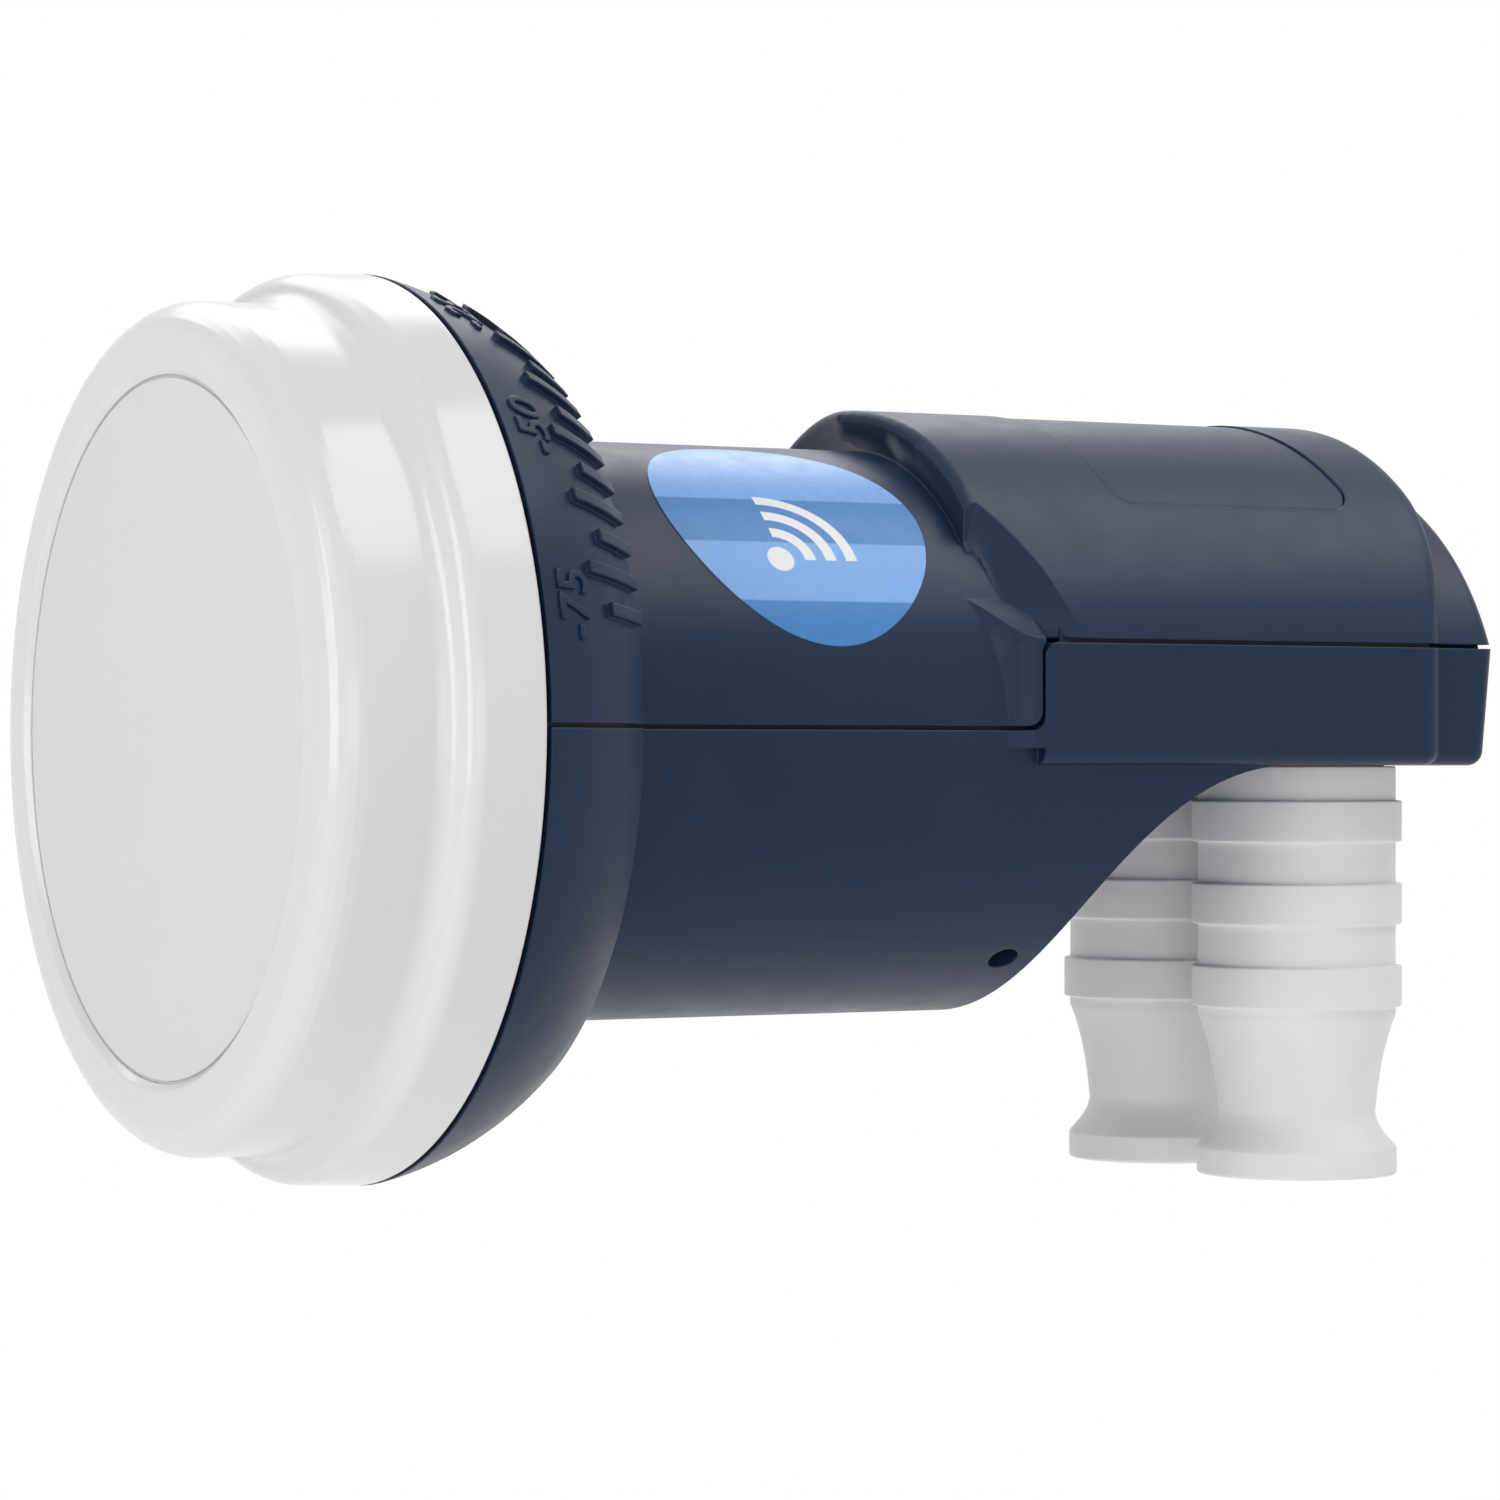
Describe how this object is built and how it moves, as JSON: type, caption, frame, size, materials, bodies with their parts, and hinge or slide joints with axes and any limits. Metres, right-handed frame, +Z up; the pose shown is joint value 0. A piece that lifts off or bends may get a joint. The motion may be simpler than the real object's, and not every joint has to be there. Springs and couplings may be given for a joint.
{
  "type": "satellite lnb",
  "caption": "Satellite LNB with a white front cap over a feed horn, a navy split housing with a round clamp neck, and downward threaded coax sockets under pull-off weather boots.",
  "frame": {"origin": "on the feed axis, in the middle of the clamp neck, 25 mm behind the plane where cap and flange meet", "axes": "+X along the feed axis towards the rear (the horn looks towards -X), +Z up, sockets point to -Z"},
  "size_m": [0.0957, 0.0612, 0.0628],
  "materials": {
    "cap_white": "glossy moulded plastic",
    "housing_navy": "satin moulded plastic",
    "label_blue": "printed foil",
    "boot_white": "matte soft rubber",
    "seal_black": "soft rubber",
    "cast_zinc": "die cast, as moulded",
    "board_green": "solder mask",
    "chip_black": "moulded",
    "crystal_can": "plated",
    "shield_tin": "tin plated",
    "screw_steel": "plated",
    "socket_nickel": "nickel plated brass",
    "insulator_white": "moulded",
    "contact_brass": "plated brass"
  },
  "bodies": {
    "housing": {"radome_cap": "cap_white", "upper_housing": "housing_navy", "lower_housing": "housing_navy", "crown_plate": "housing_navy", "side_label": "label_blue", "cap_seal": "seal_black", "connector_seal_left": "seal_black", "connector_seal_right": "seal_black", "horn_casting": "cast_zinc", "circuit_board": "board_green", "amplifier_transistors": "chip_black", "mixer_chips": "chip_black", "voltage_regulators": "chip_black", "reference_crystal": "crystal_can", "shield_cover": "shield_tin", "shield_screws": "screw_steel", "connector_body_left": "socket_nickel", "connector_body_right": "socket_nickel", "connector_insulator_left": "insulator_white", "connector_insulator_right": "insulator_white", "probe_bead_vertical": "insulator_white", "probe_bead_horizontal": "insulator_white", "connector_contact_left": "contact_brass", "connector_contact_right": "contact_brass", "probe_vertical": "contact_brass", "probe_horizontal": "contact_brass"},
    "boot_left": {"weather_boot_left": "boot_white"},
    "boot_right": {"weather_boot_right": "boot_white"}
  },
  "joints": [
    {"name": "boot_left_slide", "type": "slide", "parent": "housing", "child": "boot_left", "axis": [0, 0, -1], "range_m": [0, 0.04]},
    {"name": "boot_right_slide", "type": "slide", "parent": "housing", "child": "boot_right", "axis": [0, 0, -1], "range_m": [0, 0.04]}
  ]
}
